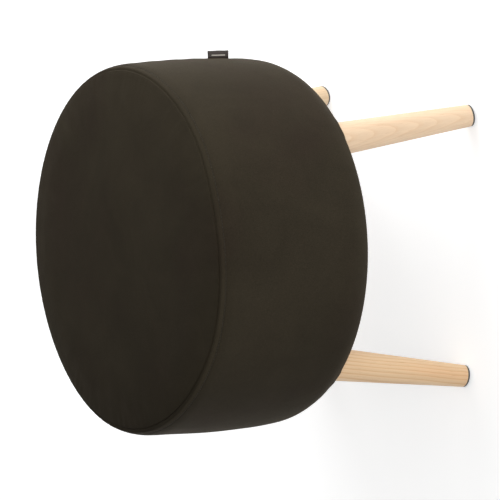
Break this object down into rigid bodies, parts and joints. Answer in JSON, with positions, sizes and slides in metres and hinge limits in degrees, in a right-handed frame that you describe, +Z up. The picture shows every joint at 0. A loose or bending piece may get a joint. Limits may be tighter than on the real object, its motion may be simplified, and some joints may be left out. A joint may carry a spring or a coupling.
{
  "type": "round upholstered stool",
  "caption": "Round low stool: a padded drum seat with a crowned top, a seamed side band and a side label, on splayed tapered wooden legs that screw in.",
  "frame": {"origin": "on the seat's axis at floor level, with the stool standing on its glides", "axes": "+Z up along the seat's axis; the front faces -Y; the side label stands out near +X; the legs are on the diagonals"},
  "size_m": [0.4566, 0.45, 0.4012],
  "materials": {
    "upholstery": "matte",
    "thread": "satin",
    "label_ribbon": "satin",
    "dust_cloth": "matte",
    "wadding": "matte",
    "foam": "matte",
    "plywood": "matte",
    "hardboard": "matte",
    "pine": "matte",
    "beech": "satin",
    "glide_plastic": "matte",
    "zinc_steel": "satin"
  },
  "bodies": {
    "seat": {"base_board": "plywood", "cover_band": "upholstery", "cover_staples": "zinc_steel", "cover_top": "upholstery", "dust_cover": "dust_cloth", "frame_post_1": "pine", "frame_post_2": "pine", "frame_post_3": "pine", "frame_post_4": "pine", "frame_post_5": "pine", "frame_post_6": "pine", "frame_screws": "zinc_steel", "hoop_staples": "zinc_steel", "seat_board": "plywood", "seat_foam": "foam", "seat_wadding": "wadding", "side_foam": "foam", "side_hoop": "hardboard", "side_label": "label_ribbon", "tee_nut_back_left": "zinc_steel", "tee_nut_back_right": "zinc_steel", "tee_nut_front_left": "zinc_steel", "tee_nut_front_right": "zinc_steel", "topstitch_thread": "thread"},
    "front_right_bolt": {"leg_stud_front_right": "zinc_steel"},
    "front_right_leg": {"leg_front_right": "beech", "leg_glide_front_right": "glide_plastic", "glide_nail_front_right": "zinc_steel"},
    "front_left_bolt": {"leg_stud_front_left": "zinc_steel"},
    "front_left_leg": {"leg_front_left": "beech", "leg_glide_front_left": "glide_plastic", "glide_nail_front_left": "zinc_steel"},
    "back_right_bolt": {"leg_stud_back_right": "zinc_steel"},
    "back_right_leg": {"leg_back_right": "beech", "leg_glide_back_right": "glide_plastic", "glide_nail_back_right": "zinc_steel"},
    "back_left_bolt": {"leg_stud_back_left": "zinc_steel"},
    "back_left_leg": {"leg_back_left": "beech", "leg_glide_back_left": "glide_plastic", "glide_nail_back_left": "zinc_steel"}
  },
  "joints": [
    {"name": "front_right_thread", "type": "slide", "parent": "seat", "child": "front_right_bolt", "axis": [0, 0, -1], "range_m": [0, 0.0151]},
    {"name": "front_right_unscrew", "type": "hinge", "parent": "front_right_bolt", "child": "front_right_leg", "pos_m": [0.13463, -0.13463, 0.1835], "axis": [0, 0, -1], "range_deg": [0, 4320]},
    {"name": "front_left_thread", "type": "slide", "parent": "seat", "child": "front_left_bolt", "axis": [0, 0, -1], "range_m": [0, 0.0151]},
    {"name": "front_left_unscrew", "type": "hinge", "parent": "front_left_bolt", "child": "front_left_leg", "pos_m": [-0.13463, -0.13463, 0.1835], "axis": [0, 0, -1], "range_deg": [0, 4320]},
    {"name": "back_right_thread", "type": "slide", "parent": "seat", "child": "back_right_bolt", "axis": [0, 0, -1], "range_m": [0, 0.0151]},
    {"name": "back_right_unscrew", "type": "hinge", "parent": "back_right_bolt", "child": "back_right_leg", "pos_m": [0.13463, 0.13463, 0.1835], "axis": [0, 0, -1], "range_deg": [0, 4320]},
    {"name": "back_left_thread", "type": "slide", "parent": "seat", "child": "back_left_bolt", "axis": [0, 0, -1], "range_m": [0, 0.0151]},
    {"name": "back_left_unscrew", "type": "hinge", "parent": "back_left_bolt", "child": "back_left_leg", "pos_m": [-0.13463, 0.13463, 0.1835], "axis": [0, 0, -1], "range_deg": [0, 4320]}
  ],
  "couplings": [
    {"joint": "front_right_thread", "follows": "front_right_unscrew", "m_per_rad": 0.00019894},
    {"joint": "front_left_thread", "follows": "front_left_unscrew", "m_per_rad": 0.00019894},
    {"joint": "back_right_thread", "follows": "back_right_unscrew", "m_per_rad": 0.00019894},
    {"joint": "back_left_thread", "follows": "back_left_unscrew", "m_per_rad": 0.00019894}
  ]
}
